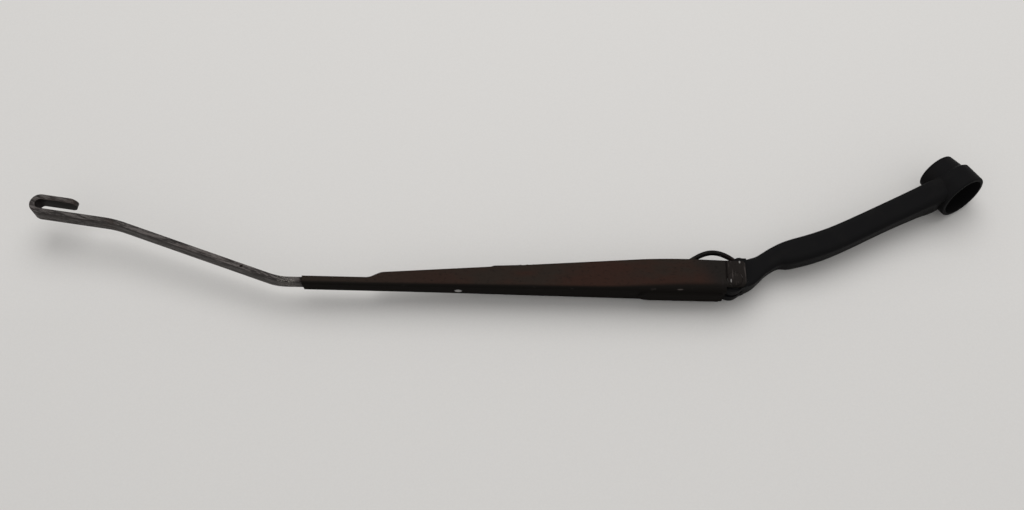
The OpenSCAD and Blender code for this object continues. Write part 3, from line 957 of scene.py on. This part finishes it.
@dataclass
class SpringDrive(SubAssembly):
    """The C link and the tension spring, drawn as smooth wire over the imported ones."""

    pin: Point = (-3.4, 0.0, -9.3)
    anchor: Point = (135.0, 0.0, -6.0)
    link_len: float = 30.4
    link_rise: float = 9.55
    eye_r: float = 2.7
    far_eye_r: float = 2.75
    link_wire_r: float = 1.2
    link_arc_r: float = 1.45
    swell: Band = (2.5, 7.5)
    spring_wire_r: float = 1.2
    coil_r: float = 4.0
    coil_len: float = 74.0
    turns: float = 20.75
    shank: float = 12.0
    pin_hook: Band = (-370.0, -135.0)
    spring_eye: Band = (-70.0, 190.0)
    apex_share: float = 0.43
    apex_handles: Band = (6.0, 6.5)
    hook_handle: float = 5.0
    eye_handle: float = 6.0
    near_loop: Band = (330.0, 90.0)
    far_loop: Band = (-90.0, 210.0)
    lead: float = 0.08
    lead_handle: float = 0.032
    run_in: float = 2.6
    run_in_handle: float = 0.4
    turn_steps: int = 26
    hook_steps: int = 34
    eye_steps: int = 38
    arch_steps: int = 16
    run_in_steps: int = 8
    near_steps: int = 28
    far_steps: int = 36
    blend_in: float = 10.0
    blend_out: float = 2.0

    @property
    def pull(self) -> Vector:
        """The unit direction from the link pin to the rod's end."""
        return (Vector(self.anchor) - Vector(self.pin)).normalized()

    def on_pull(self, s: float, y: float = 0.0, v: float = 0.0) -> Vector:
        """Places a point beside the pull line.

        Args:
            s: Distance along the line from the link pin.
            y: Distance along the hinge rivet.
            v: Distance off the line, away from the glass.

        Returns:
            The point in the side plane.
        """
        p = self.pull
        return Vector(self.pin) + s * p + Vector((-v * p.z, y, v * p.x))

    def build(self) -> None:
        """Builds the link and the spring."""
        path = self.link_path()
        link = sweep("smooth_link", path, [self.link_radius(p) for p in path], Vector((0, 1, 0)), 16)
        self.own(link, "wire", Body.LINK, Slot.SPRING)
        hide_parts("spring_link")
        path = self.spring_path()
        spring = sweep("smooth_spring", path, [self.spring_wire_r] * len(path), Vector((0, 0, 1)), 12)
        self.own(spring, "wire", None, Slot.SPRING)
        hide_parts("tension_spring")
        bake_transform(spring)

    @property
    def coil_start(self) -> float:
        """Where the coils start along the pull line."""
        return self.link_len + self.coil_r + self.shank

    @property
    def coil_end(self) -> float:
        """Where the coils end along the pull line."""
        return self.coil_start + self.coil_len

    def arc(self, centre: Vector, radius: float, start: float, end: float, steps: int) -> list[Vector]:
        """Walks an arc in the side plane.

        Args:
            centre: Its middle.
            radius: Its radius.
            start: First angle in degrees.
            end: Last angle in degrees.
            steps: Number of steps.

        Returns:
            The points.
        """
        turn = angles(start, end, steps)
        return [centre + radius * Vector((math.cos(a), 0.0, math.sin(a))) for a in turn]

    def link_radius(self, p: Vector) -> float:
        """Gives the link's radius, which grows from its eyes to its arc.

        Args:
            p: A point of its path.

        Returns:
            The radius in millimetres.
        """
        low, high = self.swell
        share = min(1.0, max(0.0, (self.pin[2] - p.z - low) / (high - low)))
        return self.link_wire_r + share * (self.link_arc_r - self.link_wire_r)

    def link_path(self) -> list[Vector]:
        """Gives the link's path from the pin's eye over the arc to the spring's eye.

        Returns:
            The points in the side plane.
        """
        pin = Vector(self.pin)
        far = pin + self.link_len * self.pull
        apex = Vector((pin.x + self.link_len * self.apex_share, 0.0, pin.z - self.link_rise))
        hook = self.arc(pin, self.eye_r, *self.pin_hook, self.hook_steps)
        eye = self.arc(far, self.far_eye_r, *self.spring_eye, self.eye_steps)
        down = self.hook_handle * Vector((1, 0, -1)).normalized()
        into = math.radians(self.spring_eye[0])
        rise = self.eye_handle * Vector((-math.sin(into), 0, math.cos(into)))
        before, after = (Vector((handle, 0, 0)) for handle in self.apex_handles)
        return [
            *hook,
            *cubic(hook[-1], hook[-1] + down, apex - before, apex, self.arch_steps),
            *cubic(apex, apex + after, eye[0] - rise, eye[0], self.arch_steps),
            *eye[1:],
        ]

    def spring_path(self) -> list[Vector]:
        """Gives the spring's path from its loop on the link over the coils to its loop in the rod.

        Returns:
            The points in the side plane.
        """
        loop = self.link_len + self.coil_r
        tail = (Vector(self.anchor) - Vector(self.pin)).length - self.coil_r
        r = self.coil_r
        turn = angles(*self.near_loop, self.near_steps)
        path = [self.on_pull(loop + r * math.cos(a), r * math.sin(a)) for a in turn]
        path += cubic(
            self.on_pull(self.coil_start - self.run_in, r),
            self.on_pull(self.coil_start - self.run_in_handle, r),
            self.coil(self.lead_handle),
            self.coil(self.lead),
            self.run_in_steps,
        )
        steps = round(self.turns * self.turn_steps)
        wound = self.turns - 2 * self.lead
        path += [self.coil(self.lead + wound * i / steps) for i in range(1, steps)]
        path += cubic(
            self.coil(self.turns - self.lead),
            self.coil(self.turns - self.lead_handle),
            self.on_pull(self.coil_end + self.run_in_handle, 0, -r),
            self.on_pull(self.coil_end + self.run_in, 0, -r),
            self.run_in_steps,
        )
        turn = angles(*self.far_loop, self.far_steps)
        path += [self.on_pull(tail + r * math.cos(a), 0, r * math.sin(a)) for a in turn]
        return path

    def coil(self, turn: float) -> Vector:
        """Places a point of the coils.

        Args:
            turn: Turns from the coils' start.

        Returns:
            The point in the side plane.
        """
        a = 2 * math.pi * turn
        s = self.coil_start + self.coil_len * turn / self.turns
        return self.on_pull(s, self.coil_r * math.cos(a), self.coil_r * math.sin(a))


@dataclass
class Stage:
    """The table, the lamps and the camera."""

    wardrobe: Wardrobe
    camera_at: Point = (121.8, -578.9, 193.1)
    look_at: Point = (121.8, 0.0, -17.6)
    lens: float = 38.67
    sensor: float = 36.0
    clip: Band = (0.01, 20.0)
    pale: Colour = (0.62, 0.61, 0.59)
    fill: float = 0.55
    span: float = 5.0
    rise: float = 11.094
    slope_x: float = 0.02
    slope_z: float = -0.0891
    slope_past: float = -0.018
    bend: Band = (4.0, 16.0)
    bend_steps: int = 6

    def build(self) -> None:
        """Builds the stage."""
        self.table()
        self.lamp("key", at=(60, -1280, -740), aim=(120, 0, -20), size=1.4, power=11.0)
        self.world()
        self.camera()

    def depth(self, x: float, z: float) -> float:
        """Gives the table's place along the hinge rivet, bent so that the raised arm stays clear of it.

        Args:
            x: Distance from the hinge towards the hook.
            z: Distance away from the glass.

        Returns:
            The distance from the side plane in millimetres.
        """
        low, high = self.bend
        turned = min(max(z, low), high) - low
        grown = turned * turned / (2 * (high - low)) + max(z - high, 0.0)
        change = (self.slope_past - self.slope_z) * grown
        return self.rise + self.slope_x * x + self.slope_z * z + change

    def table(self) -> None:
        """Lays the table under the side that the arm rests on."""
        x, _, z = self.look_at
        half = self.span / MM / 2
        low, high = self.bend
        steps = self.bend_steps
        rows = [z - half, *(low + (high - low) * i / steps for i in range(steps + 1)), z + half]
        sides = (x - half, x + half)
        points = [PLANE.point(side, self.depth(side, row), row) for row in rows for side in sides]
        faces = [(2 * i, 2 * i + 1, 2 * i + 3, 2 * i + 2) for i in range(len(rows) - 1)]
        top = new_object("table", points, faces)
        top.data.shade_flat()
        if top.data.polygons[0].normal.dot(PLANE.direction(0, -1, 0)) < 0:
            top.data.flip_normals()
        top.data.materials.append(self.wardrobe.material("table"))
        top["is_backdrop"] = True

    def lamp(self, name: str, at: Point, aim: Point, size: float, power: float) -> None:
        """Adds a soft lamp.

        Args:
            name: Its name.
            at: Its place in the side plane, in millimetres.
            aim: The point that it faces.
            size: Its width in metres.
            power: Its power in watts.
        """
        light = bpy.data.lights.new(name, "AREA")
        light.shape = "DISK"
        light.size = size
        light.energy = power
        lamp = bpy.data.objects.new(name, light)
        bpy.context.scene.collection.objects.link(lamp)
        place = PLANE.point(*at)
        lamp.location = place
        lamp.rotation_mode = "QUATERNION"
        lamp.rotation_quaternion = (PLANE.point(*aim) - place).to_track_quat("-Z", "Y")
        lamp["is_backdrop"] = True

    def world(self) -> None:
        """Fills the surroundings with even pale light."""
        world = bpy.data.worlds.new("surroundings")
        bpy.context.scene.world = world
        world.use_nodes = True
        tree = world.node_tree
        tree.nodes.clear()
        out = tree.nodes.new("ShaderNodeOutputWorld")
        path = tree.nodes.new("ShaderNodeLightPath")
        seen = tree.nodes.new("ShaderNodeBackground")
        seen.inputs[0].default_value = (*self.pale, 1.0)
        light = tree.nodes.new("ShaderNodeBackground")
        light.inputs[0].default_value = (1.0, 1.0, 1.0, 1.0)
        light.inputs[1].default_value = self.fill
        mix = tree.nodes.new("ShaderNodeMixShader")
        seen_by = tree.nodes.new("ShaderNodeMath")
        seen_by.operation = "MAXIMUM"
        also = tree.nodes.new("ShaderNodeMath")
        also.operation = "MAXIMUM"
        tree.links.new(path.outputs["Is Glossy Ray"], also.inputs[0])
        tree.links.new(path.outputs["Is Transmission Ray"], also.inputs[1])
        tree.links.new(path.outputs["Is Camera Ray"], seen_by.inputs[0])
        tree.links.new(also.outputs[0], seen_by.inputs[1])
        tree.links.new(seen_by.outputs[0], mix.inputs[0])
        tree.links.new(light.outputs[0], mix.inputs[1])
        tree.links.new(seen.outputs[0], mix.inputs[2])
        tree.links.new(mix.outputs[0], out.inputs[0])

    def camera(self) -> None:
        """Sets the camera at the photo's view."""
        data = bpy.data.cameras.new("camera")
        data.lens = self.lens
        data.sensor_width = self.sensor
        data.clip_start, data.clip_end = self.clip
        camera = bpy.data.objects.new("camera", data)
        bpy.context.scene.collection.objects.link(camera)
        place = PLANE.point(*self.camera_at)
        back = (place - PLANE.point(*self.look_at)).normalized()
        right = PLANE.direction(-1, 0, 0)
        up = back.cross(right)
        turn = Matrix((right, up, back)).transposed()
        camera.rotation_mode = "QUATERNION"
        camera.location = place
        camera.rotation_quaternion = turn.to_quaternion()
        bpy.context.scene.camera = camera


def shown_box(boxes: Callable[[], tuple[Vector, Vector]]) -> list[list[float]]:
    """Args:
        boxes: A call that gives the lowest and the highest corner.

    Returns:
        The two corners.
    """
    low, high = boxes()
    return [[round(v, 5) for v in low], [round(v, 5) for v in high]]


def colour_management() -> None:
    """Keeps the plain view transform."""
    settings = bpy.context.scene.view_settings
    settings.view_transform = "Standard"
    settings.look = "None"
    settings.exposure = 0.0
    settings.gamma = 1.0


def main() -> None:
    """Builds the whole scene."""
    logging.basicConfig(level=logging.INFO, format="%(name)s: %(message)s")
    bpy.ops.wm.read_factory_settings(use_empty=True)
    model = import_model()
    sizes = {"cad": shown_box(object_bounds)}
    wardrobe = Wardrobe(
        {
            "cast": CastPaint("cast paint"),
            "channel": RustyPaint("channel paint"),
            "rivet": RustyPaint("rivet paint", brown=(0.03, 0.024, 0.022), rust=(0.038, 0.026, 0.022)),
            "strap": RubbedSteel(
                "strap steel",
                slope=19.4,
                mouth=247.0,
                pitted=((271.8, -9.5, 1.0, 0.8), (263.8, -3.2, 1.2, 1.0)),
            ),
            "steel": RubbedSteel(
                "pin steel",
                dark=(0.015, 0.015, 0.015),
                light=(0.05, 0.047, 0.045),
                rough=0.35,
            ),
            "worn": WornSpot("worn rivet"),
            "wire": RubbedSteel(
                "spring wire",
                dark=(0.004, 0.0036, 0.0033),
                light=(0.011, 0.01, 0.009),
                rough=0.45,
            ),
            "nylon": Moulded("bush nylon"),
            "table": TableTop("table top"),
        }
    )
    nodes = model["nodes"]
    for group in (SpindleHead(wardrobe, nodes), Channel(wardrobe, nodes), SpringDrive(wardrobe, nodes)):
        group.build()
        LOG.info("built %s", type(group).__name__)
    Stage(wardrobe).build()
    colour_management()
    sizes["visual"] = shown_box(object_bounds)
    LOG.info("sizes %s", sizes)


if __name__ == "__main__":
    main()
